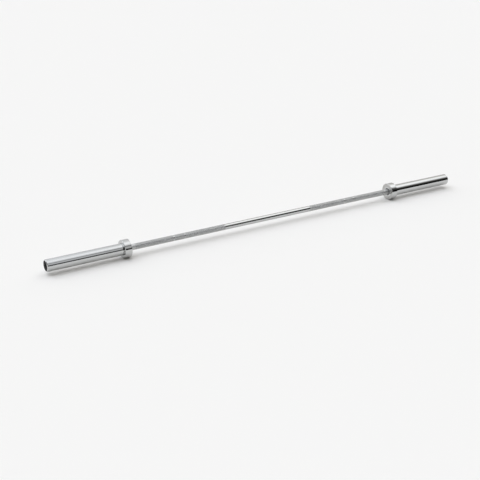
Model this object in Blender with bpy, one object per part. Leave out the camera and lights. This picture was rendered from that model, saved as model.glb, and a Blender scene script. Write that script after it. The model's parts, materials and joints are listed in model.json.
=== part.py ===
"""A barbell for disc weights, 2.01 m long: a steel shaft with a free-turning sleeve on each end.

The shaft's axis is the X axis, +Z is up, and the origin is the middle of the shaft. Each sleeve and
what is in it is drawn once, along its own axis: s = 0 is the collar's inner face, and s grows towards
the sleeve's outer end. An empty on each side carries a copy of it.
"""

import math

import bmesh
import bpy

# Driving dimensions, in metres.
GRIP_SPAN = 1.310  # between the two collars' inner faces
LOAD_LENGTH = 0.320  # the length of a sleeve that takes discs
COLLAR_WIDTH = 0.030
COLLAR_RADIUS = 0.038
SLEEVE_RADIUS = 0.025
GRIP_RADIUS = 0.0125

# The grip: plain in the middle, knurled on both sides, with two plain ring marks a side.
KNURL_RISE = 0.00015  # how far the knurl's crests stand above the plain grip
KNURL_START = 0.215  # from the middle of the shaft
KNURL_STOP = 0.026  # plain stretch between the knurl and the collar
RING_MARKS = (0.405, 0.455)  # from the middle of the shaft
RING_MARK_WIDTH = 0.005
RING_MARK_DEPTH = 0.0002

# The journal that turns in the bushings, and what holds the sleeve on it.
SHOULDER_HEIGHT = 0.0015  # grip to journal
SHOULDER_INSET = 0.006  # from the collar's inner face
BUSHING_WALL = 0.0045
BUSHING_LENGTH = 0.040
WASHER_THICKNESS = 0.002
SHAFT_RING_THICKNESS = 0.0015
SHAFT_RING_WIDTH = 0.0026
SHAFT_GROOVE_DEPTH = 0.0008
SHAFT_END_LAND = 0.004  # solid end of the shaft beyond the groove
SHAFT_END_CHAMFER = 0.001
SHAFT_END_SPACE = 0.006  # air between the shaft's end and the rubber ring's seat
SEAL_INSET = 0.0008

# The mouth of the sleeve, with the end cap and what holds it.
MOUTH_WALL = 0.0045
MOUTH_RECESS = 0.006  # from the sleeve's end to the cap's retaining ring
CAP_RING_THICKNESS = 0.0015
CAP_RING_WIDTH = 0.0028
CAP_GROOVE_DEPTH = 0.0011
CAP_THICKNESS = 0.0055
CAP_EDGE_CHAMFER = 0.0006
RUBBER_RING_RADIUS = 0.0013  # of its round section

# Bevels.
SLEEVE_END_CHAMFER = 0.0022
COLLAR_CHAMFER = 0.0015
BUSHING_CHAMFER = 0.0005

# Retaining rings: open hoops, with a lug for the pliers at each end.
RING_OPENING = math.radians(14)  # half of the open angle
LUG_ANGLE = math.radians(9)
LUG_REACH = 0.0018
LUG_CLEARANCE = 0.0006

# Clearances.
SEAT_GAP = 0.0003  # between pieces that touch
RUNNING_CLEARANCE = 0.00015  # between pieces that turn on each other

# Faceting. A flat, not an edge, lies at the bottom of every turned piece.
SIDES = 32
RUBBER_RING_SECTION_SIDES = 8
SHARP_ANGLE = math.radians(30)

# Sizes that follow from the ones above.
SLEEVE_LENGTH = COLLAR_WIDTH + LOAD_LENGTH
JOURNAL_RADIUS = GRIP_RADIUS - SHOULDER_HEIGHT
BUSHING_BORE = JOURNAL_RADIUS + RUNNING_CLEARANCE
BUSHING_RADIUS = BUSHING_BORE + BUSHING_WALL
SLEEVE_BORE = BUSHING_RADIUS + SEAT_GAP
MOUTH_RADIUS = SLEEVE_RADIUS - MOUTH_WALL
CAP_RING_FACE = SLEEVE_LENGTH - MOUTH_RECESS
CAP_FACE = CAP_RING_FACE - CAP_RING_THICKNESS - SEAT_GAP
CAP_BACK = CAP_FACE - CAP_THICKNESS
RUBBER_RING_CENTRE = CAP_BACK - SEAT_GAP - RUBBER_RING_RADIUS
MOUTH_FLOOR = RUBBER_RING_CENTRE - RUBBER_RING_RADIUS - SEAT_GAP
SHAFT_END = MOUTH_FLOOR - SHAFT_END_SPACE
SHAFT_RING_FACE = SHAFT_END - SHAFT_END_LAND - SEAT_GAP
OUTER_WASHER_FACE = SHAFT_RING_FACE - SHAFT_RING_THICKNESS - SEAT_GAP
OUTER_BUSHING_FACE = OUTER_WASHER_FACE - WASHER_THICKNESS - SEAT_GAP
INNER_WASHER_BACK = SHOULDER_INSET + SEAT_GAP
INNER_BUSHING_BACK = INNER_WASHER_BACK + WASHER_THICKNESS + SEAT_GAP


def clear_scene():
    for old in list(bpy.data.objects):
        bpy.data.objects.remove(old)


def metal(name, colour, roughness):
    return finish(name, colour, roughness, 1.0)


def finish(name, colour, roughness, metallic=0.0):
    """A material with one Principled BSDF."""
    material = bpy.data.materials.new(name)
    material.use_nodes = True
    shader = material.node_tree.nodes["Principled BSDF"]
    shader.inputs["Base Color"].default_value = (*colour, 1.0)
    shader.inputs["Roughness"].default_value = roughness
    shader.inputs["Metallic"].default_value = metallic
    return material


def finished_mesh(name, shape, material):
    """Turns a bmesh into a mesh with outward faces, smooth on its round sides and sharp at its edges."""
    bmesh.ops.recalc_face_normals(shape, faces=shape.faces)
    mesh = bpy.data.meshes.new(name)
    shape.to_mesh(mesh)
    shape.free()
    mesh.materials.append(material)
    mesh.shade_smooth()
    mesh.set_sharp_from_angle(angle=SHARP_ANGLE)
    return mesh


def turned(name, outline, material):
    """A solid turned about X. The outline is a list of (s, radius), closed unless it ends on the axis."""
    shape = bmesh.new()
    start = math.pi / SIDES
    points = [shape.verts.new((s, radius * math.sin(start), radius * math.cos(start))) for s, radius in outline]
    on_axis = outline[0][1] == 0.0 and outline[-1][1] == 0.0
    ends = points[1:] if on_axis else points[1:] + points[:1]
    edges = [shape.edges.new((a, b)) for a, b in zip(points, ends)]
    bmesh.ops.spin(
        shape,
        geom=points + edges,
        cent=(0, 0, 0),
        axis=(1, 0, 0),
        angle=math.tau,
        steps=SIDES,
        use_merge=True,
    )
    bmesh.ops.remove_doubles(shape, verts=shape.verts, dist=1e-6)
    return finished_mesh(name, shape, material)


def hoop(name, thickness, smooth_radius, lug_side_radius, lug_tip_radius, material):
    """A flat open ring from s = 0 to thickness, with a lug at each side of its opening at the bottom.

    smooth_radius is its unbroken rim, lug_side_radius the other rim, which the lugs carry on to
    lug_tip_radius.
    """
    steps = SIDES - 2
    first = RING_OPENING
    last = math.tau - RING_OPENING
    even = [first + (last - first) * i / steps for i in range(steps + 1)]
    lug_ends = (first + LUG_ANGLE, last - LUG_ANGLE)
    between = [angle for angle in even if lug_ends[0] < angle < lug_ends[1]]
    outline = [(smooth_radius, angle) for angle in even]
    outline += [(lug_tip_radius, last), (lug_tip_radius, lug_ends[1]), (lug_side_radius, lug_ends[1])]
    outline += [(lug_side_radius, angle) for angle in reversed(between)]
    outline += [(lug_side_radius, lug_ends[0]), (lug_tip_radius, lug_ends[0]), (lug_tip_radius, first)]
    shape = bmesh.new()
    corners = [shape.verts.new((0, -r * math.sin(angle), -r * math.cos(angle))) for r, angle in outline]
    flat = shape.faces.new(corners)
    made = bmesh.ops.extrude_face_region(shape, geom=[flat], use_keep_orig=True)
    lifted = [item for item in made["geom"] if isinstance(item, bmesh.types.BMVert)]
    bmesh.ops.translate(shape, verts=lifted, vec=(thickness, 0, 0))
    return finished_mesh(name, shape, material)


def bevelled_ring(length, inner, outer, chamfer):
    """The outline of a ring from s = 0 to length, with its outer edges bevelled."""
    return [
        (0, inner),
        (0, outer - chamfer),
        (chamfer, outer),
        (length - chamfer, outer),
        (length, outer - chamfer),
        (length, inner),
    ]


def place(name, mesh, parent=None, s=0.0):
    """Adds one object, at s along its parent's axis."""
    piece = bpy.data.objects.new(name, mesh)
    bpy.context.scene.collection.objects.link(piece)
    piece.parent = parent
    piece.location = (s, 0, 0)
    return piece


def half_shaft_outline():
    """(x, radius) from the middle of the shaft to its right end, on the axis."""
    knurled = GRIP_RADIUS + KNURL_RISE
    marked = GRIP_RADIUS - RING_MARK_DEPTH
    outline = [(KNURL_START, GRIP_RADIUS), (KNURL_START, knurled)]
    for mark in RING_MARKS:
        near = mark - RING_MARK_WIDTH / 2
        far = mark + RING_MARK_WIDTH / 2
        outline += [(near, knurled), (near, marked), (far, marked), (far, knurled)]
    collar = GRIP_SPAN / 2
    shoulder = collar + SHOULDER_INSET
    knurl_end = collar - KNURL_STOP
    end = collar + SHAFT_END
    groove_far = end - SHAFT_END_LAND
    groove_near = groove_far - SHAFT_RING_THICKNESS - 2 * SEAT_GAP
    groove_floor = JOURNAL_RADIUS - SHAFT_GROOVE_DEPTH
    outline += [(knurl_end, knurled), (knurl_end, GRIP_RADIUS)]
    outline += [(shoulder, GRIP_RADIUS), (shoulder, JOURNAL_RADIUS)]
    outline += [(groove_near, JOURNAL_RADIUS), (groove_near, groove_floor)]
    outline += [(groove_far, groove_floor), (groove_far, JOURNAL_RADIUS)]
    outline += [(end - SHAFT_END_CHAMFER, JOURNAL_RADIUS), (end, JOURNAL_RADIUS - SHAFT_END_CHAMFER), (end, 0.0)]
    return outline


def shaft():
    """One bar, the same from its middle to both ends: grip, shoulders, journals and ring grooves."""
    right = half_shaft_outline()
    left = [(-x, radius) for x, radius in reversed(right)]
    return turned("shaft", left + right, metal("chromed_shaft_steel", (0.72, 0.73, 0.74), 0.28))


def sleeve_tube(chrome):
    """A thick tube, bored for the bushings, with a wider mouth and a ring groove at its outer end."""
    groove_near = CAP_RING_FACE - CAP_RING_THICKNESS - SEAT_GAP
    groove_far = CAP_RING_FACE + SEAT_GAP
    groove_floor = MOUTH_RADIUS + CAP_GROOVE_DEPTH
    outline = [
        (0, SLEEVE_BORE),
        (0, SLEEVE_RADIUS),
        (SLEEVE_LENGTH - SLEEVE_END_CHAMFER, SLEEVE_RADIUS),
        (SLEEVE_LENGTH, SLEEVE_RADIUS - SLEEVE_END_CHAMFER),
        (SLEEVE_LENGTH, MOUTH_RADIUS),
        (groove_far, MOUTH_RADIUS),
        (groove_far, groove_floor),
        (groove_near, groove_floor),
        (groove_near, MOUTH_RADIUS),
        (MOUTH_FLOOR, MOUTH_RADIUS),
        (MOUTH_FLOOR, SLEEVE_BORE),
    ]
    return turned("sleeve_tube", outline, chrome)


def collar_ring(chrome):
    """The ring pressed over the sleeve's inner end, which the discs stop against."""
    bore = SLEEVE_RADIUS + SEAT_GAP
    outline = bevelled_ring(COLLAR_WIDTH, bore, COLLAR_RADIUS, COLLAR_CHAMFER)
    return turned("collar_ring", outline, chrome)


def bushing(bronze):
    outline = bevelled_ring(BUSHING_LENGTH, BUSHING_BORE, BUSHING_RADIUS, BUSHING_CHAMFER)
    return turned("bushing", outline, bronze)


def thrust_washer(steel):
    outline = [
        (0, BUSHING_BORE),
        (0, BUSHING_RADIUS),
        (WASHER_THICKNESS, BUSHING_RADIUS),
        (WASHER_THICKNESS, BUSHING_BORE),
    ]
    return turned("thrust_washer", outline, steel)


def shaft_seal(rubber):
    """The dark ring in the collar's mouth, which wipes the shaft."""
    inner = GRIP_RADIUS + RUNNING_CLEARANCE
    length = INNER_WASHER_BACK - SEAT_GAP - SEAL_INSET
    outline = [(0, inner), (0, BUSHING_RADIUS), (length, BUSHING_RADIUS), (length, inner)]
    return turned("shaft_seal", outline, rubber)


def shaft_retaining_ring(spring_steel):
    inner = JOURNAL_RADIUS - SHAFT_GROOVE_DEPTH + SEAT_GAP
    lug_tip = SLEEVE_BORE - LUG_CLEARANCE
    outer = inner + SHAFT_RING_WIDTH
    return hoop("shaft_retaining_ring", SHAFT_RING_THICKNESS, inner, outer, lug_tip, spring_steel)


def cap_retaining_ring(spring_steel):
    outer = MOUTH_RADIUS + CAP_GROOVE_DEPTH - SEAT_GAP
    inner = outer - CAP_RING_WIDTH
    return hoop("cap_retaining_ring", CAP_RING_THICKNESS, outer, inner, inner - LUG_REACH, spring_steel)


def end_cap(black):
    radius = MOUTH_RADIUS - SEAT_GAP
    outline = [
        (0, 0.0),
        (0, radius),
        (CAP_THICKNESS - CAP_EDGE_CHAMFER, radius),
        (CAP_THICKNESS, radius - CAP_EDGE_CHAMFER),
        (CAP_THICKNESS, 0.0),
    ]
    return turned("end_cap", outline, black)


def cap_rubber_ring(rubber):
    """A ring of round section, about s = 0, between the end cap and the mouth's floor."""
    centre_line = MOUTH_RADIUS - SEAT_GAP - RUBBER_RING_RADIUS
    turn = math.tau / RUBBER_RING_SECTION_SIDES
    angles = [turn * (i + 0.5) for i in range(RUBBER_RING_SECTION_SIDES)]
    reach = RUBBER_RING_RADIUS
    outline = [(reach * math.sin(a), centre_line + reach * math.cos(a)) for a in angles]
    return turned("cap_rubber_ring", outline, rubber)


def sleeve_axis(name, x, turn):
    """An empty on the shaft's axis, at a collar's inner face, with its own X towards the sleeve's end."""
    axis = bpy.data.objects.new(name, None)
    bpy.context.scene.collection.objects.link(axis)
    axis.location = (x, 0, 0)
    axis.rotation_euler = (0, 0, turn)
    return axis


def main():
    clear_scene()
    chrome = metal("bright_chrome", (0.78, 0.79, 0.80), 0.06)
    bronze = metal("bushing_bronze", (0.62, 0.40, 0.17), 0.35)
    steel = metal("washer_steel", (0.55, 0.55, 0.54), 0.35)
    spring_steel = metal("spring_steel", (0.16, 0.16, 0.17), 0.40)
    rubber = finish("black_rubber", (0.02, 0.02, 0.02), 0.75)
    black = finish("black_plastic", (0.025, 0.025, 0.027), 0.45)
    # Each entry: the name after its side, the mesh, and where its s = 0 lies along the sleeve's axis.
    bushing_mesh = bushing(bronze)
    washer_mesh = thrust_washer(steel)
    sleeve_pieces = [
        ("sleeve_tube", sleeve_tube(chrome), 0.0),
        ("collar_ring", collar_ring(chrome), 0.0),
        ("shaft_seal", shaft_seal(rubber), SEAL_INSET),
        ("inner_thrust_washer", washer_mesh, INNER_WASHER_BACK),
        ("inner_bushing", bushing_mesh, INNER_BUSHING_BACK),
        ("outer_bushing", bushing_mesh, OUTER_BUSHING_FACE - BUSHING_LENGTH),
        ("outer_thrust_washer", washer_mesh, OUTER_WASHER_FACE - WASHER_THICKNESS),
        ("shaft_retaining_ring", shaft_retaining_ring(spring_steel), SHAFT_RING_FACE - SHAFT_RING_THICKNESS),
        ("cap_rubber_ring", cap_rubber_ring(rubber), RUBBER_RING_CENTRE),
        ("end_cap", end_cap(black), CAP_BACK),
        ("cap_retaining_ring", cap_retaining_ring(spring_steel), CAP_RING_FACE - CAP_RING_THICKNESS),
    ]
    place("shaft", shaft())
    for side, x, turn in (("left", -GRIP_SPAN / 2, math.pi), ("right", GRIP_SPAN / 2, 0.0)):
        axis = sleeve_axis(side + "_sleeve_axis", x, turn)
        for name, mesh, s in sleeve_pieces:
            place(side + "_" + name, mesh, axis, s)


main()
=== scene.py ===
# %% [markdown]
# # A chrome barbell, piece by piece
#
# The real object is a steel bar of nearly two metres with a sleeve on each end. Discs slide onto the
# sleeves, and the sleeves turn freely on the bar, so that the discs' spin never reaches the hands.
# Almost all of it is turned on a lathe and then chromed. That decides how it is drawn here: one outline
# for each piece, spun round the bar's axis, with real rounded edges to catch the light.
#
# The packed model comes first and stays where it is. Every piece below takes its place and its size
# from it and rides on one of its bodies. All but the knurling stand for one of its nodes.

# %% Load the frame
import json
import math

import bmesh
import bpy
import numpy as np
from mathutils import Matrix


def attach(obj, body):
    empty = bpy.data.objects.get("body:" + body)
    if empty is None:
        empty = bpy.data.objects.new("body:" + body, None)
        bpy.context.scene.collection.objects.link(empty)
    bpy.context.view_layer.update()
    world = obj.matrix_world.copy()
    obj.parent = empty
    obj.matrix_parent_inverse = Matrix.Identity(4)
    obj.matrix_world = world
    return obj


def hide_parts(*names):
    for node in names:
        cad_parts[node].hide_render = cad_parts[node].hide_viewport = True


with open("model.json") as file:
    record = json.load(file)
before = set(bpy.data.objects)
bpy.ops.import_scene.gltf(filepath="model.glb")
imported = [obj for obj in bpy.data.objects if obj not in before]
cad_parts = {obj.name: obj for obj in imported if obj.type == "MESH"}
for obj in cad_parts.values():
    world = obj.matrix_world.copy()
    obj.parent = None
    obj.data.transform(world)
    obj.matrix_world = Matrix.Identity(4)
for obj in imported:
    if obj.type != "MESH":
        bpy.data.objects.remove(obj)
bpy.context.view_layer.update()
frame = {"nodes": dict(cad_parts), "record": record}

# %% [markdown]
# ## Measuring the frame
#
# The solids in the frame have 32 flat sides, but their corners lie on the true radius. So a piece's
# bore, its outer radius and its reach along the axis can all be read from the corners. Distances along
# a sleeve, called s here, start at the collar's inner face and grow towards the end of the bar.

# %% Reach and radii of a node
def corners_of(node):
    """Each corner's distance from the middle of the bar, along it, and its distance from the axis."""
    places = np.array([corner.co for corner in frame["nodes"][node].data.vertices])
    return abs(places[:, 0]), np.hypot(places[:, 1], places[:, 2])


COLLAR_FACE = float(corners_of("right_collar_ring")[0].min())


class Reach:
    """Where a sleeve's node lies: near and far along the sleeve, bore and rim from the axis."""

    def __init__(self, node):
        along, radii = corners_of("right_" + node)
        self.near = float(along.min()) - COLLAR_FACE
        self.far = float(along.max()) - COLLAR_FACE
        self.bore = float(radii.min())
        self.rim = float(radii.max())


tube = Reach("sleeve_tube")
collar = Reach("collar_ring")
print(f"collar face at {COLLAR_FACE:.3f} m, sleeve {tube.far:.3f} m long, rim {1000 * tube.rim:.1f} mm")

# %% [markdown]
# ## The camera
#
# The picture looks down on the bar by about 23 degrees, from in front and from the left, with a long
# lens. Set by eye, such a camera is always a little off. So its place was found by fitting the two ends
# of the bar, the collars and their widths, and it is one position, two turns and a focal length.

# %% Camera
CAMERA_PLACE = (-2.0852, -3.3077, 1.5236)
CAMERA_DOWN = math.radians(22.617)
CAMERA_TURN = math.radians(30.490)  # from straight ahead towards the right end
LENS = 72.75
FARTHEST_SEEN = 200.0  # metres, beyond the floor's corners

camera = bpy.data.objects.new("camera", bpy.data.cameras.new("camera"))
bpy.context.scene.collection.objects.link(camera)
camera.location = CAMERA_PLACE
camera.rotation_euler = (math.pi / 2 - CAMERA_DOWN, 0, -CAMERA_TURN)
camera.data.lens = LENS
camera.data.clip_end = FARTHEST_SEEN
bpy.context.scene.camera = camera
bpy.context.scene.view_settings.view_transform = "Standard"
print(f"camera {math.dist(CAMERA_PLACE, (0, 0, 0)):.2f} m from the middle of the bar")

# %% [markdown]
# ## Shader maths as plain expressions
#
# Node trees are sums and products drawn as boxes. It reads better to write them as sums and products,
# so a small class wraps one output socket and turns each operator into a node. Numbers use Math nodes.
# Vectors and colours use Vector Math, because a Math node would turn a colour grey.

# %% One socket that can be added and multiplied
def is_vector(value):
    """Whether a value is a vector or a colour, and so needs Vector Math."""
    if isinstance(value, Signal):
        return value.socket.type != "VALUE"
    return isinstance(value, tuple)


class Signal:
    """An output socket. Arithmetic on it adds nodes to its tree."""

    def __init__(self, graph, socket):
        self.graph = graph
        self.socket = socket

    def with_node(self, operation, first, second):
        kind = "ShaderNodeVectorMath" if is_vector(first) or is_vector(second) else "ShaderNodeMath"
        return self.graph.add(kind, {"operation": operation}, {0: first, 1: second})

    def __add__(self, other):
        return self.with_node("ADD", self, other)

    def __radd__(self, other):
        return self.with_node("ADD", other, self)

    def __sub__(self, other):
        return self.with_node("SUBTRACT", self, other)

    def __rsub__(self, other):
        return self.with_node("SUBTRACT", other, self)

    def __mul__(self, other):
        return self.with_node("MULTIPLY", self, other)

    def __rmul__(self, other):
        return self.with_node("MULTIPLY", other, self)

    def __truediv__(self, other):
        return self.with_node("DIVIDE", self, other)

    def __pow__(self, other):
        return self.with_node("POWER", self, other)

    def rise(self, low, high, climb="SMOOTHSTEP"):
        """0 below low, 1 above high, and a smooth or a straight climb between them."""
        limits = {"Value": self, "From Min": low, "From Max": high}
        return self.graph.add("ShaderNodeMapRange", {"interpolation_type": climb}, limits)


print("a socket knows", sorted(name for name in vars(Signal) if name.startswith("__r")), "too")


# %% A node tree with one way to add a node
class Graph:
    """The nodes of one material or world."""

    def __init__(self, owner):
        owner.use_nodes = True
        self.name = owner.name
        self.tree = owner.node_tree
        self.tree.nodes.clear()

    def add(self, kind, settings=None, inputs=None, output=0):
        """A new node: first its settings, then a value or a link for each socket that is named."""
        node = self.tree.nodes.new(kind)
        for name, value in (settings or {}).items():
            setattr(node, name, value)
        for name, value in (inputs or {}).items():
            if isinstance(value, Signal):
                self.tree.links.new(value.socket, node.inputs[name])
            else:
                node.inputs[name].default_value = value
        return Signal(self, node.outputs[output]) if node.outputs else None

    def mix(self, share, first, second):
        """A colour between two others, by share. A Mix node's colours are sockets 6 and 7, and 2 out."""
        return self.add("ShaderNodeMix", {"data_type": "RGBA"}, {0: share, 6: first, 7: second}, output=2)

    def place(self):
        """The place of the point in the piece's own frame, as a vector in metres."""
        return self.add("ShaderNodeTexCoord", output="Object")

    def parts(self, vector):
        """The x, y and z of a vector."""
        node = self.add("ShaderNodeSeparateXYZ", inputs={0: vector}).socket.node
        return [Signal(self, socket) for socket in node.outputs]

    def noise(self, vector, scale, detail=2.0):
        """Soft noise from 0 to 1, with about scale grains to the metre."""
        return self.add("ShaderNodeTexNoise", {}, {"Vector": vector, "Scale": scale, "Detail": detail})

    def stretched_noise(self, vector, scales, detail=2.0):
        """Noise with its own scale in x, y and z, for lines instead of grains."""
        return self.noise(vector * scales, scale=1.0, detail=detail)


def colour(red, green, blue):
    return (red, green, blue, 1.0)


print("mid grey is", colour(0.5, 0.5, 0.5))

# %% [markdown]
# ## The studio
#
# Chrome has no colour of its own to speak of: it shows the room. In the picture the sleeves carry a
# white top, a black line along the middle and a light underside. So the room has a broad soft key light
# high on the right, and a black card at the front right. The bar's shadow falls a little towards the
# camera and to the right, so a second soft light hangs high at the back left and a weaker one at the
# front left, where none of the chrome in the picture mirrors them.
#
# Lamps and cards could be objects, but they would stand in the way of other views and need many samples.
# Here the room is drawn in the world, by direction, which costs nothing. Low down at the back the walls
# stay plain, so other views have a plain background.

# %% Directions in the room
def towards(azimuth, elevation):
    """A unit vector. Azimuth is in degrees from +X towards +Y, elevation in degrees above the floor."""
    a, e = math.radians(azimuth), math.radians(elevation)
    return (math.cos(a) * math.cos(e), math.sin(a) * math.cos(e), math.sin(e))


def cosine(degrees):
    return math.cos(math.radians(degrees))


def sine(degrees):
    return math.sin(math.radians(degrees))


world = bpy.data.worlds.new("studio_room")
bpy.context.scene.world = world
room = Graph(world)
direction = room.add("ShaderNodeTexCoord", output="Generated")


def turned_towards(vector):
    """The cosine between the direction looked in and a fixed one."""
    product = {"operation": "DOT_PRODUCT"}
    return room.add("ShaderNodeVectorMath", product, {0: direction, 1: vector}, output="Value")


print("straight to the back is", [round(part, 3) for part in towards(90, 0)])

# %% Parts of the room
height = turned_towards((0, 0, 1))
level = (1 - height * height) ** 0.5  # how much of the direction lies flat


def side(azimuth, full, gone):
    """1 within full degrees of an azimuth, 0 beyond gone degrees."""
    return (turned_towards(towards(azimuth, 0)) / level).rise(cosine(gone), cosine(full))


def below(fade, end):
    """1 up to the elevation fade, 0 above end."""
    return 1 - height.rise(sine(fade), sine(end))


def above(begin, full):
    """0 up to the elevation begin, 1 above full."""
    return height.rise(sine(begin), sine(full))


def round_lamp(azimuth, elevation, full, gone):
    """1 within full degrees of a lamp's middle, 0 beyond gone degrees."""
    return turned_towards(towards(azimuth, elevation)).rise(cosine(gone), cosine(full))


def card(azimuth, full, gone, bottom, top):
    """A card on one side of the room. Its lower and its upper edge each fade between two elevations."""
    return side(azimuth, full, gone) * above(*bottom) * below(*top)


print("the room is measured by", len(room.tree.nodes), "nodes")

# %% Walls and lamps
WALL = 0.92
LEFT_DIMMING = 0.5  # of the wall, high on the left
BACK_GLOW = 0.14  # added high on the back wall
KEY_STRENGTH = 0.85
BACK_STRENGTH = 1.25
FRONT_STRENGTH = 0.72
KEY_FALL = 2.2  # how fast the key light fades from its middle
KEY_LEAN = (0.35, 1.25)  # its strength straight up, and what it gains all the way to the right

rightward = turned_towards((1, 0, 0))
key_light = turned_towards(towards(-9, 59.5)).rise(cosine(41), 1, "LINEAR") ** KEY_FALL
key_light = key_light * (KEY_LEAN[0] + KEY_LEAN[1] * rightward)
back_light = round_lamp(131, 54, full=10, gone=45)
front_light = round_lamp(-140, 52, full=12, gone=42)
lamps = KEY_STRENGTH * key_light + BACK_STRENGTH * back_light + FRONT_STRENGTH * front_light
dim_left = turned_towards((-1, 0, 0)).rise(-0.2, 0.4) * above(14, 32)
back_glow = card(86, 20, 34, bottom=(14, 24), top=(48, 62))
brightness = WALL * (1 - LEFT_DIMMING * dim_left) + BACK_GLOW * back_glow + lamps
print(f"walls at {WALL}, lamps up to {BACK_STRENGTH} brighter")

# %% [markdown]
# ### Cards that darken
#
# Each dark line on the chrome is a card in the room. A card is a place and the share of the light that
# it takes away. The black one at the front right draws the line along the sleeves, and the low one in
# front carries it on downwards. A gauze, a thin strip, a skirting board and a back corner give the finer
# lines and greys. The card on the left shows in the bevels at the left end. The dark cloth round the
# camera is mirrored twice, by the left sleeve and then by its collar's polished face.

# %% The cards, with the share of the light that each takes
ON_FLOOR = (0, 1.5)  # the lower edge of a card that stands on the floor
CARDS = {
    "black card at the front right": (0.93, card(-26, 30, 40, bottom=ON_FLOOR, top=(30, 58))),
    "thin gauze in front": (0.22, card(-80, 32, 60, bottom=ON_FLOOR, top=(52, 68))),
    "low black card in front": (0.95, card(-92, 44, 60, bottom=ON_FLOOR, top=(12.5, 25.5))),
    "thin strip in front": (0.6, card(-66, 14, 30, bottom=(40, 43), top=(46, 50))),
    "skirting at the back right": (0.6, card(45, 14, 24, bottom=(0.5, 1.5), top=(5, 7))),
    "dark card on the left": (0.88, card(180, 22, 38, bottom=(13, 18), top=(38, 46))),
    "back corner": (0.22, card(50, 14, 24, bottom=(8, 14), top=(30, 45))),
    "dark cloth round the camera": (0.93, card(-118, 13, 22, bottom=ON_FLOOR, top=(42, 56))),
}
for share, darkened in CARDS.values():
    brightness = brightness * (1 - share * darkened)
print("cards:", ", ".join(CARDS))

# %% [markdown]
# ### Warm walls and cool lamps
#
# In the picture the shadow is warm, while the chrome is nearly neutral on the right and cool on the left.
# A shadow lies where the lamps are hidden and only the walls still shine, so it takes the colour of the
# walls. Walls warm enough for that shadow would turn the chrome yellow. So the room has two tints: one
# for the light that it sheds on things, and a milder one for what the camera and the chrome see of it.
# Light Path tells the two apart. What is seen is cooler away from the right, which is what the left
# sleeve mirrors. Low down, where other views look, the walls are neutral on all sides but the front.

# %% Tints shed and seen
WALLS_SHED = colour(1.0, 0.955, 0.885)
LAMPS_SHED = colour(0.972, 1.0, 1.04)
WALLS_SEEN = colour(1.0, 0.989, 0.955)
LAMPS_SEEN = colour(0.98, 1.0, 1.02)
LEFT_SEEN = colour(0.972, 0.99, 1.022)
LOW_WALLS_SEEN = colour(1.0, 0.998, 0.994)
SEEING_RAYS = ("Is Camera Ray", "Is Glossy Ray", "Is Transmission Ray")

away_from_right = 1 - rightward.rise(0.3, 0.46)
all_but_front = turned_towards((0, 1, 0)).rise(-0.92, -0.5)
shed_tint = room.mix(lamps, WALLS_SHED, LAMPS_SHED)
seen_tint = room.mix(lamps, WALLS_SEEN, LAMPS_SEEN)
seen_tint = room.mix(away_from_right, seen_tint, LEFT_SEEN)
seen_tint = room.mix(below(8, 16) * all_but_front, seen_tint, LOW_WALLS_SEEN)
seen = sum(room.add("ShaderNodeLightPath", output=ray) for ray in SEEING_RAYS)
tint = room.mix(seen, shed_tint, seen_tint)
lit = room.add("ShaderNodeBackground", {}, {"Color": tint, "Strength": brightness})
room.add("ShaderNodeOutputWorld", {}, {"Surface": lit})
print("room ready, with", len(room.tree.nodes), "nodes")

# %% [markdown]
# ## The floor
#
# One plain pale sheet under the collars, which are the widest pieces and carry the bar. It could curve
# up into a backdrop, but the walls are as pale as it is, so a flat sheet that runs far out looks the
# same from all sides. It is matt, so that it takes the soft shadow and mirrors nothing.

# %% Floor
FLOOR_HALF = 60.0
FLOOR_COLOUR = colour(0.911, 0.910, 0.909)

paint = bpy.data.materials.new("pale_floor_paint")
floor_nodes = Graph(paint)
matt = floor_nodes.add("ShaderNodeBsdfDiffuse", {}, {"Color": FLOOR_COLOUR})
floor_nodes.add("ShaderNodeOutputMaterial", {}, {"Surface": matt})

sheet = bmesh.new()
for x, y in ((-1, -1), (1, -1), (1, 1), (-1, 1)):
    sheet.verts.new((x * FLOOR_HALF, y * FLOOR_HALF, -collar.rim))
sheet.faces.new(sheet.verts[:])
floor_mesh = bpy.data.meshes.new("floor")
sheet.to_mesh(floor_mesh)
sheet.free()
floor_mesh.materials.append(paint)
floor = bpy.data.objects.new("floor", floor_mesh)
bpy.context.scene.collection.objects.link(floor)
print(f"floor {1000 * collar.rim:.1f} mm under the bar's axis")

# %% [markdown]
# ## Chrome
#
# Chrome plate is a cool grey mirror that gives back a little over half of the light. What tells it from
# a perfect mirror is fine: polishing lines round the piece, faint streaks along a sleeve where discs
# have slid, and soft smears that only change how sharp the reflection is. So the colour hardly moves
# and the roughness does, with a very shallow bump for the lines.
#
# Plate is only as smooth as the steel under it. The collars' outer faces are polished, while their inner
# faces and the bar's plain ends still show the lathe's fine brushing. The collars' inner faces are also
# painted a darker, warmer grey: partly the duller turned plate, partly painted shade for the shaded floor
# that they mirror. That could be a material for each face, but one that looks at where it is along the
# piece has no seam.

# %% A finish, and the shader that ends it
MICRON = 1e-6


def new_finish(name):
    """A new material, its nodes, and the place on the piece that the finish varies with."""
    material = bpy.data.materials.new(name)
    nodes = Graph(material)
    return material, nodes, nodes.place()


def surface(nodes, base, roughness, bump, depth, metallic=1.0):
    """Ends a material with one Principled shader. depth is the bump's height in metres."""
    normal = nodes.add("ShaderNodeBump", {}, {"Height": bump, "Distance": depth, "Strength": 1.0})
    inputs = {"Base Color": base, "Roughness": roughness, "Metallic": metallic, "Normal": normal}
    shader = nodes.add("ShaderNodeBsdfPrincipled", {}, inputs)
    nodes.add("ShaderNodeOutputMaterial", {}, {"Surface": shader})
    print(f"{nodes.name}: {len(nodes.tree.nodes)} nodes, bump {depth / MICRON:.1f} microns")


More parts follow.
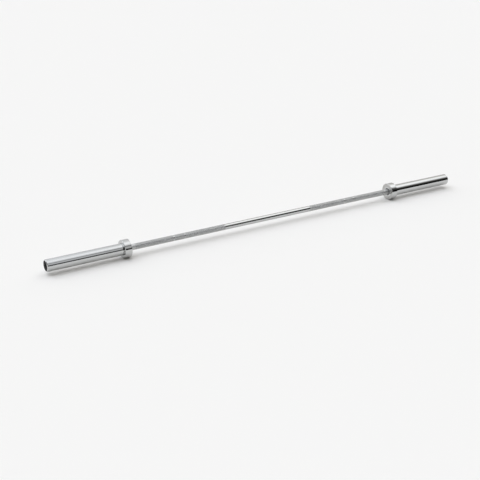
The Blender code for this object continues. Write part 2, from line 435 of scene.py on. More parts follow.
# %% Polished and brushed plate
CHROME = colour(0.553, 0.558, 0.556)
CHROME_SMEARED = colour(0.515, 0.518, 0.512)
# the collars' inner faces: duller turned plate, darkened further as painted shade
CHROME_TURNED_SHADED = colour(0.490, 0.488, 0.478)
POLISH_DULLS, SLIDES_DULL, SMEARS_DULL = 0.03, 0.09, 0.035  # added to the roughness
SLIDES_SHADE, SMEARS_SHADE = 0.3, 0.35  # share of the smeared colour


def chrome(name, streaks, sharpness=0.045, brushed=None, brushing=0.2, brushed_colour=CHROME_TURNED_SHADED):
    """Polished plate. streaks is how much the discs have marked it along the bar.

    brushed is a function that says where along the piece the plate is left dull by the lathe. brushed_colour
    is the colour there, and on the collars that darker colour is partly painted shade.
    """
    material, nodes, place = new_finish(name)
    polish = nodes.stretched_noise(place, (2400, 60, 60))
    slides = streaks * nodes.stretched_noise(place, (9, 620, 620), detail=3.0).rise(0.55, 0.78)
    smears = nodes.noise(place, scale=34, detail=3.0).rise(0.42, 0.72)
    roughness = sharpness + POLISH_DULLS * polish + SLIDES_DULL * slides + SMEARS_DULL * smears
    base = nodes.mix(SMEARS_SHADE * smears + SLIDES_SHADE * slides, CHROME, CHROME_SMEARED)
    if brushed is not None:
        dull = brushed(nodes.parts(place)[0])
        roughness = roughness + brushing * dull
        # on the collars this colour is partly painted shade, for the shaded floor that the inner face
        # mirrors
        base = nodes.mix(dull, base, brushed_colour)
    surface(nodes, base, roughness, bump=polish + slides, depth=1.5 * MICRON)
    return material


# %% Where the brushing and the painted shade lie
SAME_RADIUS = 1e-5
FACE_FADE = (0.0001, 0.0006)  # from a collar's inner face
KNURL_FADE = 0.001  # from the end of the knurl
shaft_along, shaft_radii = corners_of("shaft")
KNURL_CREST = float(shaft_radii.max())
KNURL_END = float(shaft_along[shaft_radii > KNURL_CREST - SAME_RADIUS].max())


def inner_face(x):
    """1 on a collar's inner face, where its own frame begins: its plate is turned there, and darkened as
    painted shade.
    """
    return 1 - x.rise(*FACE_FADE)


def bar_ends(x):
    """1 beyond the knurl at both ends of the bar. A square has no sign, so one rise serves both."""
    return (x * x).rise(KNURL_END ** 2, (KNURL_END + KNURL_FADE) ** 2)


sleeve_chrome = chrome("sleeve_chrome", streaks=1.0)
# the collar's inner face is painted darker: turned plate, and painted shade
collar_chrome = chrome("collar_chrome", streaks=0.25, brushed=inner_face)
grip_chrome = chrome(
    "grip_chrome", streaks=0.1, sharpness=0.06, brushed=bar_ends, brushing=0.38, brushed_colour=CHROME
)
print(f"the bar is brushed from {KNURL_END:.3f} m outwards")

# %% [markdown]
# ## The knurl's finish
#
# The knurl is plated with the rest of the bar, but its grooves stay duller: plate runs thin in them and
# chalk and skin grease collect there, while hands keep the crests bright. Crests and grooves could be
# two materials on the mesh, but wear has no sharp edge. So the shader knows where it is by its distance
# from the axis.

# %% Knurl chrome
KNURL_DEPTH = 0.00025
KNURL_VALLEY = KNURL_CREST - KNURL_DEPTH
GROOVE_COLOUR = colour(0.45, 0.455, 0.455)
CREST_COLOUR = colour(0.56, 0.565, 0.563)

knurl_chrome, nodes, place = new_finish("knurl_chrome")
y, z = nodes.parts(place)[1:]
from_axis = (y * y + z * z) ** 0.5
crest = from_axis.rise(KNURL_VALLEY + 0.1 * KNURL_DEPTH, KNURL_CREST)
patches = nodes.noise(place, scale=60, detail=3.0)
grain = nodes.noise(place, scale=4200)
base = nodes.mix(crest, GROOVE_COLOUR, CREST_COLOUR)
roughness = 0.29 - 0.10 * crest + 0.1 * patches
surface(nodes, base, roughness, bump=grain, depth=4 * MICRON, metallic=0.9)
print(f"knurl crest at {1000 * KNURL_CREST:.2f} mm from the axis")

# %% [markdown]
# ## Bearing metals and spring steel
#
# These are hidden in the sleeve: sintered bronze with dark pores that hold oil, ground steel washers
# with fine scratches, and retaining rings of spring steel, blackened against rust. Each could be one
# flat colour, since little of it shows, but it is seen when the part is taken apart. Noise at the size
# of the real grain, in the piece's own frame, needs no map and no picture.

# %% Sintered bronze
BRONZE = colour(0.60, 0.38, 0.15)
BRONZE_BRIGHT = colour(0.68, 0.45, 0.21)
OILY_PORE = colour(0.20, 0.11, 0.04)

bronze, nodes, place = new_finish("sintered_bronze")
pores = nodes.noise(place, scale=2600, detail=3.0).rise(0.56, 0.68)
cast = nodes.noise(place, scale=90)
base = nodes.mix(pores, nodes.mix(cast, BRONZE, BRONZE_BRIGHT), OILY_PORE)
roughness = 0.30 + 0.12 * cast + 0.3 * pores
surface(nodes, base, roughness, bump=1 - pores, depth=20 * MICRON)

# %% Ground steel
STEEL_DARK = colour(0.46, 0.46, 0.45)
STEEL_LIGHT = colour(0.62, 0.62, 0.61)

ground_steel, nodes, place = new_finish("ground_steel")
scratches = nodes.stretched_noise(place, (300, 260, 5200), detail=3.0)
base = nodes.mix(scratches, STEEL_DARK, STEEL_LIGHT)
surface(nodes, base, 0.26 + 0.2 * scratches, bump=scratches, depth=4 * MICRON)

# %% Blackened spring steel
BLACKENED = colour(0.030, 0.031, 0.034)
BLACKENED_THIN = colour(0.075, 0.073, 0.070)
WORN_BARE = colour(0.2, 0.2, 0.2)

spring_steel, nodes, place = new_finish("blackened_spring_steel")
mottle = nodes.noise(place, scale=700, detail=3.0)
worn = nodes.noise(place, scale=2500).rise(0.6, 0.75)
base = nodes.mix(worn, nodes.mix(mottle, BLACKENED, BLACKENED_THIN), WORN_BARE)
surface(nodes, base, 0.36 + 0.2 * mottle, bump=mottle, depth=6 * MICRON, metallic=0.85)

# %% [markdown]
# ## Rubber and moulded plastic
#
# The seals and the rubber rings are matt black rubber with a little grey bloom, and the end caps are
# moulded plastic with a fine grain and a few scuffs. Black next to chrome easily turns into a hole in
# the picture. So neither is pure black, and the bloom and the scuffs give them something to show.

# %% Rubber
RUBBER = colour(0.012, 0.012, 0.013)
RUBBER_BLOOM = colour(0.045, 0.044, 0.042)

rubber, nodes, place = new_finish("bloomed_rubber")
bloom = nodes.noise(place, scale=420, detail=3.0)
grain = nodes.noise(place, scale=3600)
base = nodes.mix(bloom.rise(0.45, 0.8), RUBBER, RUBBER_BLOOM)
surface(nodes, base, 0.62 + 0.25 * bloom, bump=grain, depth=12 * MICRON, metallic=0.0)

# %% Moulded plastic
PLASTIC = colour(0.016, 0.016, 0.018)
PLASTIC_SCUFFED = colour(0.040, 0.040, 0.041)

moulded, nodes, place = new_finish("moulded_plastic")
grain = nodes.noise(place, scale=2100, detail=3.0)
scuffs = nodes.noise(place, scale=160, detail=4.0).rise(0.55, 0.75)
base = nodes.mix(scuffs, PLASTIC, PLASTIC_SCUFFED)
surface(nodes, base, 0.38 + 0.12 * grain + 0.1 * scuffs, bump=grain, depth=10 * MICRON, metallic=0.0)

# %% [markdown]
# ## Turning a piece from its outline
#
# A lathe makes a piece from its outline, and so does this. The outline is a short list of corners, each
# with the radius that rounds it off. A real edge is never sharp, and on chrome the rounded edge is what
# draws the bright line round a piece. Blender's Screw and Bevel modifiers could do the same, but they
# only guess which way the surface faces. Rounding each corner one by one gives points and also that
# exact direction at each of them. Those go in as custom normals, so flat faces stay flat right up to
# their edges and a long cylinder mirrors without ripples.

# %% Rounding the corners of an outline
ARC_STEPS = 4


def pointing(angle):
    """A unit vector as (along the bar, away from it)."""
    return np.array([math.cos(angle), math.sin(angle)])


def rounded(corners, closed=True):
    """Points and outward normals of an outline, as two arrays.

    corners are (s, radius, rounding), clockwise with s to the right, so that the outside lies to the
    left of the way it is walked. An open outline starts and ends on the axis.
    """
    spots = [np.array(corner[:2]) for corner in corners]
    points, facings = [], []
    for i, (spot, corner) in enumerate(zip(spots, corners)):
        before = spot - spots[i - 1] if closed or i > 0 else None
        after = spots[(i + 1) % len(spots)] - spot if closed or i < len(spots) - 1 else None
        ways = [way / np.linalg.norm(way) for way in (before, after) if way is not None]
        faces = [math.atan2(way[0], -way[1]) for way in ways]
        if len(ways) == 1:
            points.append(spot)
            facings.append(faces[0])
            continue
        turn = (faces[1] - faces[0] + math.pi) % math.tau - math.pi
        rounding = corner[2]
        bend = -1 if turn < 0 else 1
        start = spot - ways[0] * rounding * math.tan(abs(turn) / 2)
        centre = start + bend * rounding * pointing(faces[0])
        for step in range(ARC_STEPS + 1):
            facing = faces[0] + turn * step / ARC_STEPS
            points.append(centre - bend * rounding * pointing(facing))
            facings.append(facing)
    return np.array(points), np.array([pointing(facing) for facing in facings])


square = rounded([(0, 1, 0.1), (0, 2, 0.1), (1, 2, 0.1), (1, 1, 0.1)])
print("a square ring's outline has", len(square[0]), "points, the first facing", square[1][0].round(2))


# %% A last look at each mesh
def checked(mesh):
    """The mesh, if it is closed, has no loose points and faces outwards."""
    shape = bmesh.new()
    shape.from_mesh(mesh)
    loose = sum(not corner.link_faces for corner in shape.verts)
    open_edges = sum(not edge.is_manifold for edge in shape.edges)
    volume = shape.calc_volume(signed=True)
    shape.free()
    assert not loose and not open_edges, f"{mesh.name}: {loose} loose points, {open_edges} open edges"
    assert volume > 0, f"{mesh.name} is inside out"
    print(f"{mesh.name}: {len(mesh.polygons)} faces, closed, {volume * 1e9:.0f} mm3")
    return mesh


# %% Spinning an outline round the axis
ON_AXIS = 1e-9


def turned(name, material, outline, sides=160, closed=True):
    """A mesh turned about the X axis, with its own normals and a map laid out as length by angle."""
    points, normals = outline
    angles = np.arange(sides) * math.tau / sides
    rings = [1 if radius < ON_AXIS else sides for radius in points[:, 1]]
    starts = np.concatenate([[0], np.cumsum(rings)])
    verts, facing = [], []
    for (s, radius), (n_s, n_r), ring in zip(points, normals, rings):
        for angle in angles[:ring]:
            verts.append((s, radius * math.sin(angle), radius * math.cos(angle)))
            facing.append((n_s, n_r * math.sin(angle), n_r * math.cos(angle)))
    lengths = np.linalg.norm(np.diff(points, axis=0, append=points[:1]), axis=1)
    along = np.concatenate([[0], np.cumsum(lengths)]) / lengths.sum()
    faces, places = [], []
    for i in range(len(points) if closed else len(points) - 1):
        j = (i + 1) % len(points)
        near, far = along[i], along[i + 1]
        for k in range(sides):
            corners = [(i, k, near), (j, k, far), (j, k + 1, far), (i, k + 1, near)]
            if rings[i] == 1:
                corners.pop()
            if rings[j] == 1:
                corners.pop(1)
            faces.append([int(starts[row]) + column % rings[row] for row, column, u in corners])
            places += [(u, column / sides) for row, column, u in corners]
    mesh = bpy.data.meshes.new(name)
    mesh.from_pydata(verts, [], faces)
    mesh.uv_layers.new(name="OFBake").data.foreach_set("uv", np.array(places).ravel())
    mesh.materials.append(material)
    mesh.shade_smooth()
    mesh.normals_split_custom_set_from_vertices(facing)
    return checked(mesh)


# %% [markdown]
# ## The sleeve
#
# A thick steel tube, ground and plated. Its outer end has a broad bevel, so that discs find their way
# on. Behind the bevel is a wider mouth with a groove for the ring that holds the end cap in. The mouth
# and the groove could be cut from a tube with booleans, but they are turned on the real one, and in the
# outline they are only a few more corners.

# %% Sleeve tube
GAP = 0.0003  # between pieces that touch
SLEEVE_BEVEL = 0.0022
cap = Reach("end_cap")
cap_clip = Reach("cap_retaining_ring")
rubber_ring = Reach("cap_rubber_ring")
MOUTH = cap.rim + GAP
MOUTH_FLOOR = rubber_ring.near - GAP
CAP_GROOVE = cap_clip.rim + GAP

sleeve_outline = rounded([
    (tube.near, tube.bore, 0.0003),
    (tube.near, tube.rim, 0.0003),
    (tube.far - SLEEVE_BEVEL, tube.rim, 0.0012),
    (tube.far, tube.rim - SLEEVE_BEVEL, 0.0006),
    (tube.far, MOUTH, 0.0004),
    (cap_clip.far + GAP, MOUTH, 0.0001),
    (cap_clip.far + GAP, CAP_GROOVE, 0.0001),
    (cap_clip.near - GAP, CAP_GROOVE, 0.0001),
    (cap_clip.near - GAP, MOUTH, 0.0001),
    (MOUTH_FLOOR, MOUTH, 0.0004),
    (MOUTH_FLOOR, tube.bore, 0.0003),
])
sleeve_mesh = turned("sleeve", sleeve_chrome, sleeve_outline)

# %% [markdown]
# ## The collar
#
# The ring that stops the discs, pressed over the sleeve's inner end. It could be one mesh with the
# sleeve, but it is a piece of its own on the real bar, and the thin line between ring and tube stays
# visible on its inner face. Its two outer edges are bevelled.

# %% Collar ring
COLLAR_BEVEL = 0.0012
collar_outline = rounded([
    (collar.near, collar.bore, 0.0002),
    (collar.near, collar.rim - COLLAR_BEVEL, 0.0005),
    (collar.near + COLLAR_BEVEL, collar.rim, 0.0005),
    (collar.far - COLLAR_BEVEL, collar.rim, 0.0005),
    (collar.far, collar.rim - COLLAR_BEVEL, 0.0005),
    (collar.far, collar.bore, 0.0002),
])
collar_mesh = turned("collar", collar_chrome, collar_outline, sides=192)

# %% [markdown]
# ## The end cap and its rubber ring
#
# A black moulded disc, sunk in the mouth. It has a raised rim, a shallow field that stays bare, and the
# small mark in the middle where the plastic entered the mould. A rubber ring of round section sits
# behind it and keeps it from rattling. A torus would do for the ring, but a square outline with its
# corners rounded away comes from the same function as the rest.

# %% End cap
CAP_RIM_WIDTH = 0.0024
CAP_FIELD_DEPTH = 0.0008
GATE_RADIUS = 0.0022
GATE_RISE = 0.0003
field = cap.far - CAP_FIELD_DEPTH

cap_outline = rounded([
    (cap.near, 0.0, 0.0),
    (cap.near, cap.rim, 0.0004),
    (cap.far, cap.rim, 0.0006),
    (cap.far, cap.rim - CAP_RIM_WIDTH, 0.0003),
    (field, cap.rim - CAP_RIM_WIDTH - CAP_FIELD_DEPTH, 0.0004),
    (field, GATE_RADIUS + GATE_RISE, 0.0002),
    (field + GATE_RISE, GATE_RADIUS, 0.0001),
    (field + GATE_RISE, 0.0, 0.0),
], closed=False)
cap_mesh = turned("cap", moulded, cap_outline, closed=False)

# %% Rubber ring
ROUNDNESS = 0.98  # just short of 1, so that no side of the square vanishes
section = (rubber_ring.far - rubber_ring.near) / 2
middle = (rubber_ring.near + rubber_ring.far) / 2
ring_bore = rubber_ring.rim - 2 * section
ring_outline = rounded([
    (middle - section, ring_bore, section * ROUNDNESS),
    (middle - section, rubber_ring.rim, section * ROUNDNESS),
    (middle + section, rubber_ring.rim, section * ROUNDNESS),
    (middle + section, ring_bore, section * ROUNDNESS),
])
rubber_ring_mesh = turned("rubber_ring", rubber, ring_outline, sides=96)

# %% [markdown]
# ## The seal and the bearings
#
# A rubber seal with a thin lip wipes the bar where it enters the collar. Behind it two bronze bushings
# carry the sleeve. Each has bevelled ends and a shallow groove for oil in the middle of its bore. Steel
# washers take the push along the bar. Plain rings would fill the same space, but lip, groove and bevels
# are what tells a seal, a bushing and a washer apart, and here they are a few corners each.

# %% Lip seal
LIP = 0.0006
LIP_TIP = 0.0001  # behind the seal's front
LIP_BACK = 0.0005
HOLLOW = 0.0013  # behind the front, between the lip and the rim
LIP_ROOT = 0.0030
seal = Reach("shaft_seal")
seal_outline = rounded([
    (seal.near + LIP_BACK, seal.bore, 0.0001),
    (seal.near + LIP_TIP, seal.bore + LIP / 2, 0.0001),
    (seal.near + HOLLOW, seal.bore + 1.6 * LIP, 0.0002),
    (seal.near + HOLLOW, seal.rim - 2 * LIP, 0.0002),
    (seal.near, seal.rim - 1.5 * LIP, 0.0002),
    (seal.near, seal.rim, 0.0003),
    (seal.far, seal.rim, 0.0003),
    (seal.far, seal.bore + LIP, 0.0003),
    (seal.near + LIP_ROOT, seal.bore + LIP, 0.0003),
])
seal_mesh = turned("seal", rubber, seal_outline, sides=128)

# %% Bushings
BUSHING_BEVEL = 0.0005
OIL_GROOVE_HALF = 0.0015
OIL_GROOVE_DEPTH = 0.0004


def bushing(node):
    reach = Reach(node)
    half = (reach.near + reach.far) / 2
    floor_radius = reach.bore + OIL_GROOVE_DEPTH
    outline = rounded([
        (reach.near, reach.bore + BUSHING_BEVEL / 2, 0.0002),
        (reach.near, reach.rim - BUSHING_BEVEL, 0.0002),
        (reach.near + BUSHING_BEVEL, reach.rim, 0.0002),
        (reach.far - BUSHING_BEVEL, reach.rim, 0.0002),
        (reach.far, reach.rim - BUSHING_BEVEL, 0.0002),
        (reach.far, reach.bore + BUSHING_BEVEL / 2, 0.0002),
        (reach.far - BUSHING_BEVEL, reach.bore, 0.0002),
        (half + OIL_GROOVE_HALF, reach.bore, 0.0001),
        (half + OIL_GROOVE_HALF - OIL_GROOVE_DEPTH, floor_radius, 0.0003),
        (half - OIL_GROOVE_HALF + OIL_GROOVE_DEPTH, floor_radius, 0.0003),
        (half - OIL_GROOVE_HALF, reach.bore, 0.0001),
        (reach.near + BUSHING_BEVEL, reach.bore, 0.0002),
    ])
    return turned(node, bronze, outline, sides=96)


inner_bushing_mesh = bushing("inner_bushing")
outer_bushing_mesh = bushing("outer_bushing")

# %% Washers
WASHER_EDGE = 0.0002


def washer(node):
    reach = Reach(node)
    near, far = reach.near, reach.far
    ends = [(near, reach.bore), (near, reach.rim), (far, reach.rim), (far, reach.bore)]
    return turned(node, ground_steel, rounded([(*end, WASHER_EDGE) for end in ends]), sides=96)


inner_washer_mesh = washer("inner_thrust_washer")
outer_washer_mesh = washer("outer_thrust_washer")

# %% [markdown]
# ## Retaining rings
#
# Stamped from spring steel: an open hoop with an ear at each side of the opening, and a hole in each
# ear for the pliers. A stamping is a flat outline with thickness, and Blender's 2D curve is just that:
# its fill leaves the holes open and its bevel breaks the edges. The hoop is then turned to face along
# the bar.

# %% Arcs and holes of a stamping
def polar(radius, angle):
    """A point at an angle from straight down."""
    return (radius * math.sin(angle), -radius * math.cos(angle))


def arc(radius, first, last, steps):
    return [polar(radius, first + (last - first) * i / steps) for i in range(steps + 1)]


def hole(middle, radius, steps=16):
    turns = [math.tau * i / steps for i in range(steps)]
    return [(middle[0] + radius * math.cos(turn), middle[1] + radius * math.sin(turn)) for turn in turns]


print("a hole has", len(hole((0, 0), 1)), "corners")

# %% A stamped open hoop
HALF_OPENING = math.radians(14)
EAR_ANGLE = math.radians(9)
EAR_FOOT = 1.25 * EAR_ANGLE
HOLE_RADIUS = 0.0008
STAMPED_EDGE = 0.00015
HOOP_STEPS = 120
EAR_STEPS = 6
WELD = 1e-6


def ring_outline_of(band_rim, ear_rim, ear_tip):
    """The loops of a ring: its outline and the two holes in its ears."""
    first, last = HALF_OPENING, math.tau - HALF_OPENING
    outline = arc(band_rim, first, last, HOOP_STEPS)
    outline += arc(ear_tip, last, last - EAR_ANGLE, EAR_STEPS)
    outline += arc(ear_rim, last - EAR_FOOT, first + EAR_FOOT, HOOP_STEPS)
    outline += arc(ear_tip, first + EAR_ANGLE, first, EAR_STEPS)
    eye = (band_rim + ear_tip) / 2
    eyes = [polar(eye, first + EAR_ANGLE / 2), polar(eye, last - EAR_ANGLE / 2)]
    return [outline] + [hole(middle, HOLE_RADIUS) for middle in eyes]


def stamped_ring(node, band_rim, ear_rim, ear_tip):
    """band_rim is the unbroken rim, ear_rim the other one, from which the ears reach to ear_tip."""
    reach = Reach(node)
    stamping = bpy.data.curves.new(node, "CURVE")
    stamping.dimensions = "2D"
    stamping.fill_mode = "BOTH"
    stamping.extrude = (reach.far - reach.near) / 2 - STAMPED_EDGE
    stamping.bevel_depth = STAMPED_EDGE
    stamping.bevel_resolution = 1
    stamping.offset = -STAMPED_EDGE
    for loop in ring_outline_of(band_rim, ear_rim, ear_tip):
        spline = stamping.splines.new("POLY")
        spline.points.add(len(loop) - 1)
        for point, (across, up) in zip(spline.points, loop):
            point.co = (across, up, 0, 1)
        spline.use_cyclic_u = True
    drawn = bpy.data.objects.new(node, stamping)
    bpy.context.scene.collection.objects.link(drawn)
    bpy.context.view_layer.update()
    mesh = bpy.data.meshes.new_from_object(drawn.evaluated_get(bpy.context.evaluated_depsgraph_get()))
    bpy.data.objects.remove(drawn)
    along_bar = Matrix(((0, 0, 1, (reach.near + reach.far) / 2), (1, 0, 0, 0), (0, 1, 0, 0), (0, 0, 0, 1)))
    shape = bmesh.new()
    shape.from_mesh(mesh)
    bmesh.ops.remove_doubles(shape, verts=shape.verts, dist=WELD)
    bmesh.ops.transform(shape, matrix=along_bar, verts=shape.verts)
    bmesh.ops.recalc_face_normals(shape, faces=shape.faces)
    shape.to_mesh(mesh)
    shape.free()
    mesh.name = node
    mesh.materials.clear()
    mesh.materials.append(spring_steel)
    mesh.shade_flat()
    return checked(mesh)


# %% The rings in the mouth and on the bar
CLIP_BAND = 0.0026
CAP_CLIP_BAND = 0.0028
shaft_clip = Reach("shaft_retaining_ring")
cap_clip_mesh = stamped_ring("cap_retaining_ring", cap_clip.rim, cap_clip.rim - CAP_CLIP_BAND, cap_clip.bore)
shaft_clip_mesh = stamped_ring(
    "shaft_retaining_ring", shaft_clip.bore, shaft_clip.bore + CLIP_BAND, shaft_clip.rim
)

# %% [markdown]
# ## The bar
#
# One steel bar, the same from its middle to both ends: the plain middle, the knurled grips with two
# plain rings in each, a plain stretch to the collar, and inside the sleeve a thinner journal with a
# groove for its retaining ring. Bar and knurling could be one mesh, but a smooth cylinder and a knurled
# one want quite different meshes. So the knurled skin is a mesh of its own, and under it this piece is a
# little thinner.

# %% Where the knurling lies
crests = shaft_along[shaft_radii > KNURL_CREST - SAME_RADIUS]
zone_ends = sorted({round(float(x), 5) for x in crests})
zones = list(zip(zone_ends[0::2], zone_ends[1::2]))
print("knurled from and to:", zones)

# %% The bar's outline
GRIP = 0.0125
RING_MARK = GRIP - 0.0002
UNDER_KNURL = GRIP - 0.0006
ZONE_GAP = 0.0001  # between the plain bar and the outermost knurled rows
RUNNING_CLEARANCE = 0.00015
END_BEVEL = 0.001
JOURNAL = Reach("inner_bushing").bore - RUNNING_CLEARANCE
SHOULDER = COLLAR_FACE + Reach("inner_thrust_washer").near - GAP
SHAFT_END = float(shaft_along.max())
CLIP_GROOVE = shaft_clip.bore - GAP
GROOVE_START = COLLAR_FACE + shaft_clip.near - GAP
GROOVE_END = COLLAR_FACE + shaft_clip.far + GAP

right_half = [(zones[0][0] - ZONE_GAP, GRIP, 0.0002), (zones[0][0] - ZONE_GAP, UNDER_KNURL, 0.0001)]
for (_, ring_start), (ring_end, _) in zip(zones, zones[1:]):
    right_half += [(ring_start, UNDER_KNURL, 0.0001), (ring_start, RING_MARK, 0.0001)]
    right_half += [(ring_end, RING_MARK, 0.0001), (ring_end, UNDER_KNURL, 0.0001)]
right_half += [
    (zones[-1][1] + ZONE_GAP, UNDER_KNURL, 0.0001),
    (zones[-1][1] + ZONE_GAP, GRIP, 0.0002),
    (SHOULDER, GRIP, 0.0004),
    (SHOULDER, JOURNAL, 0.0003),
    (GROOVE_START, JOURNAL, 0.0001),
    (GROOVE_START, CLIP_GROOVE, 0.0001),
    (GROOVE_END, CLIP_GROOVE, 0.0001),
    (GROOVE_END, JOURNAL, 0.0001),
    (SHAFT_END - END_BEVEL, JOURNAL, 0.0003),
    (SHAFT_END, JOURNAL - END_BEVEL, 0.0003),
    (SHAFT_END, 0.0, 0.0),
]
left_half = [(-x, radius, rounding) for x, radius, rounding in reversed(right_half)]
bar_outline = rounded(left_half + right_half, closed=False)
bar_mesh = turned("bar", grip_chrome, bar_outline, sides=128, closed=False)

# %% [markdown]
# ## The knurling
#
# Two wheels roll crossing grooves into the bar, so the skin between them is left as rows of small
# diamonds. A bump in the material would be cheaper, but it leaves the outline smooth and loses the glint
# on each crest. So the mesh does what the wheels do: a lattice of groove crossings, all equally deep,
# and on every diamond steep flanks with a much flatter point on top.
#
# Each side has over sixteen thousand diamonds, so this piece brings its own map, unrolled like a label.
# The pattern is a whole number of diamonds round the bar, and each zone is stretched by a hair to hold a
# whole number along it too.

# %% Rows and columns of a knurled zone
DIAMONDS_ROUND = 52
DIAMOND_LENGTH = 0.002616
COLUMNS = 2 * DIAMONDS_ROUND
OUTER_SHARE = 0.96  # of the map's height, for the surface that shows


class KnurledZone:
    """One zone's points, faces and map places. Two grooves cross where row + column is even."""

    def __init__(self, start, end, rows_before):
        self.start = start
        self.rows = 2 * round((end - start) / DIAMOND_LENGTH)
        self.pitch = (end - start) / self.rows
        self.rows_before = rows_before
        self.points, self.faces, self.places = [], [], []

    def point(self, row, column, radius):
        angle = column * math.tau / COLUMNS
        return (self.start + row * self.pitch, radius * math.sin(angle), radius * math.cos(angle))

    def on_map(self, row, column):
        """A map place. It counts rows from the first zone's start, to be divided by all of them."""
        return (self.rows_before + row, OUTER_SHARE * (column + 1) / (COLUMNS + 2))

    def add_ring(self, row, radius):
        """Adds a point under or on each crossing of a row, and gives the first one's number."""
        first = len(self.points)
        self.points += [self.point(row, 2 * k + row % 2, radius) for k in range(DIAMONDS_ROUND)]
        return first

    def crossing(self, row, column):
        """The number of the point where two grooves cross. The rows' rings are the first points."""
        return row * DIAMONDS_ROUND + column % COLUMNS // 2

    def add_face(self, corners, places):
        self.faces.append(corners)
        self.places += places


print(f"a diamond is {math.tau * KNURL_CREST / DIAMONDS_ROUND * 1000:.2f} mm wide")

# %% Grooves, diamonds and the half diamonds at the edges
CREST_SHARE = 0.72  # of a diamond, inside its steep flanks
CREST_RISE = 0.00008  # from the crest's rim to its point


def raise_diamond(zone, row, column):
    """Four flanks up from the grooves, and four flatter faces to the point."""
    around = [(row - 1, column), (row, column - 1), (row + 1, column), (row, column + 1)]
    rim = [(row + CREST_SHARE * (r - row), column + CREST_SHARE * (c - column)) for r, c in around]
    top = len(zone.points)
    zone.points += [zone.point(r, c, KNURL_CREST - CREST_RISE) for r, c in rim]
    zone.points.append(zone.point(row, column, KNURL_CREST))
    for i in range(4):
        j = (i + 1) % 4
        flank = [zone.crossing(*around[i]), zone.crossing(*around[j]), top + j, top + i]
        on_map = [zone.on_map(*spot) for spot in (around[i], around[j], rim[j], rim[i])]
        zone.add_face(flank, on_map)
        on_map = [zone.on_map(*spot) for spot in (rim[i], rim[j], (row, column))]
        zone.add_face([top + i, top + j, top + 4], on_map)


def fill_edge(zone, edge_row, next_row):
    """Flat half diamonds, so that the zone ends in a straight ring."""
    for column in range(1, COLUMNS, 2):
        corners = [(edge_row, column - 1), (next_row, column), (edge_row, column + 1)]
        if edge_row > next_row:
            corners.reverse()
        numbers = [zone.crossing(*corner) for corner in corners]
        zone.add_face(numbers, [zone.on_map(*corner) for corner in corners])


print(f"the crests' rims lie {(KNURL_DEPTH - CREST_RISE) * 1000:.2f} mm above the grooves")

# %% The end faces and the bore of the skin
SKIN_BORE = UNDER_KNURL - 0.0002  # just inside the bar, so that no gap shows
MAP_FILL = 0.9  # of each space on the map, so that neighbours don't touch
LOW_STRIP = 1 - (1 - OUTER_SHARE) * MAP_FILL
HIGH_STRIP = 1 - (1 - OUTER_SHARE) * (1 - MAP_FILL)


def close_bore(zone):
    """Closes the skin inside the bar. Its faces share the strip that the outside leaves on the map."""
    far_rim = zone.rows * DIAMONDS_ROUND
    near_bore = zone.add_ring(0, SKIN_BORE)
    far_bore = zone.add_ring(zone.rows, SKIN_BORE)
    third = zone.rows * MAP_FILL / DIAMONDS_ROUND / 3
    for k in range(DIAMONDS_ROUND):
        m = (k + 1) % DIAMONDS_ROUND
        left = zone.rows_before + zone.rows * k / DIAMONDS_ROUND
        near_end = [k, m, near_bore + m, near_bore + k]
        far_end = [far_bore + k, far_bore + m, far_rim + m, far_rim + k]
        bore = [near_bore + k, near_bore + m, far_bore + m, far_bore + k]
        for part, corners in enumerate((near_end, far_end, bore)):
            from_u, to_u = left + part * third, left + (part + MAP_FILL) * third
            strip = [(from_u, LOW_STRIP), (to_u, LOW_STRIP), (to_u, HIGH_STRIP), (from_u, HIGH_STRIP)]
            zone.add_face(corners, strip)


def knurled_zone(start, end, rows_before):
    zone = KnurledZone(start, end, rows_before)
    for row in range(zone.rows + 1):
        zone.add_ring(row, KNURL_VALLEY)
    for row in range(1, zone.rows):
        for column in range((row + 1) % 2, COLUMNS, 2):
            raise_diamond(zone, row, column)
    fill_edge(zone, 0, 1)
    fill_edge(zone, zone.rows, zone.rows - 1)
    close_bore(zone)
    return zone


print(f"the skin is {(KNURL_CREST - SKIN_BORE) * 1000:.2f} mm thick at its crests")

# %% One knurled grip for each side
def knurling(name, sign):
    """The zones of one side as one mesh. The left one is the right one turned half round."""
    points, faces, places, rows_before = [], [], [], 0
    for start, end in zones:
        zone = knurled_zone(start, end, rows_before)
        faces += [[len(points) + corner for corner in face] for face in zone.faces]
        points += zone.points
        places += zone.places
        rows_before += zone.rows + 1
    mesh = bpy.data.meshes.new(name)
    mesh.from_pydata(points, [], faces)
    spots = np.array(places) / (rows_before, 1)
    mesh.uv_layers.new(name="OFBake").data.foreach_set("uv", spots.ravel())
    if sign < 0:
        mesh.transform(Matrix.Rotation(math.pi, 4, "Z"))
    mesh.materials.append(knurl_chrome)
    mesh.shade_flat()
    return checked(mesh)


# %% [markdown]
# ## Putting the pieces in place
#
# Every sleeve piece was drawn once, along s. The right sleeve uses it as it is, moved to the collar's
# face, and the left sleeve turns it half round. A mirrored copy would be inside out, and its finish
# would match the other end like a picture in a mirror. Each piece rides on the body that carries its
# node, so the two retaining rings in the bar's grooves stay with the bar while the sleeves turn.

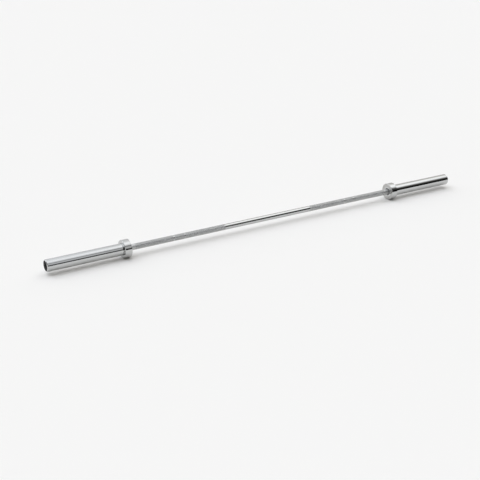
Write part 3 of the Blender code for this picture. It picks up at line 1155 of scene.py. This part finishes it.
# %% One piece, placed and tied to its body
HANDS = (("left", -1), ("right", 1))
bodies = frame["record"]["behaviour"]["bodies"]
body_of = {node: body for body, members in bodies.items() for node in members}


def put(name, mesh, body, slot, *nodes, matrix=None):
    """Places a piece, ties it to its body, and hides the nodes that it stands for."""
    piece = bpy.data.objects.new(name, mesh)
    bpy.context.scene.collection.objects.link(piece)
    piece.matrix_world = matrix or Matrix.Identity(4)
    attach(piece, body)
    if nodes:
        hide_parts(*nodes)


put("chromed_bar", bar_mesh, "shaft", "shaft_chrome", "shaft")
for hand, sign in HANDS:
    put(hand + "_knurling", knurling(hand + "_knurling", sign), "shaft", "shaft_chrome")

# %% Both sleeves
SLEEVE_PIECES = (
    ("chromed_sleeve", sleeve_mesh, "sleeve_tube", "bright_chrome"),
    ("chromed_collar", collar_mesh, "collar_ring", "bright_chrome"),
    ("lip_seal", seal_mesh, "shaft_seal", "black_rubber"),
    ("inner_washer", inner_washer_mesh, "inner_thrust_washer", "washer_steel"),
    ("inner_bearing", inner_bushing_mesh, "inner_bushing", "bushing_bronze"),
    ("outer_bearing", outer_bushing_mesh, "outer_bushing", "bushing_bronze"),
    ("outer_washer", outer_washer_mesh, "outer_thrust_washer", "washer_steel"),
    ("shaft_clip", shaft_clip_mesh, "shaft_retaining_ring", "spring_steel"),
    ("cap_clip", cap_clip_mesh, "cap_retaining_ring", "spring_steel"),
    ("cap_rubber", rubber_ring_mesh, "cap_rubber_ring", "black_rubber"),
    ("moulded_cap", cap_mesh, "end_cap", "black_plastic"),
)
for hand, sign in HANDS:
    half_turn = Matrix.Rotation(math.pi if sign < 0 else 0.0, 4, "Z")
    sleeve_frame = Matrix.Translation((sign * COLLAR_FACE, 0, 0)) @ half_turn
    for name, mesh, part, slot in SLEEVE_PIECES:
        node = f"{hand}_{part}"
        put(f"{hand}_{name}", mesh.copy(), body_of[node], slot, node, matrix=sleeve_frame)
print("pieces on both sleeves:", 2 * len(SLEEVE_PIECES))
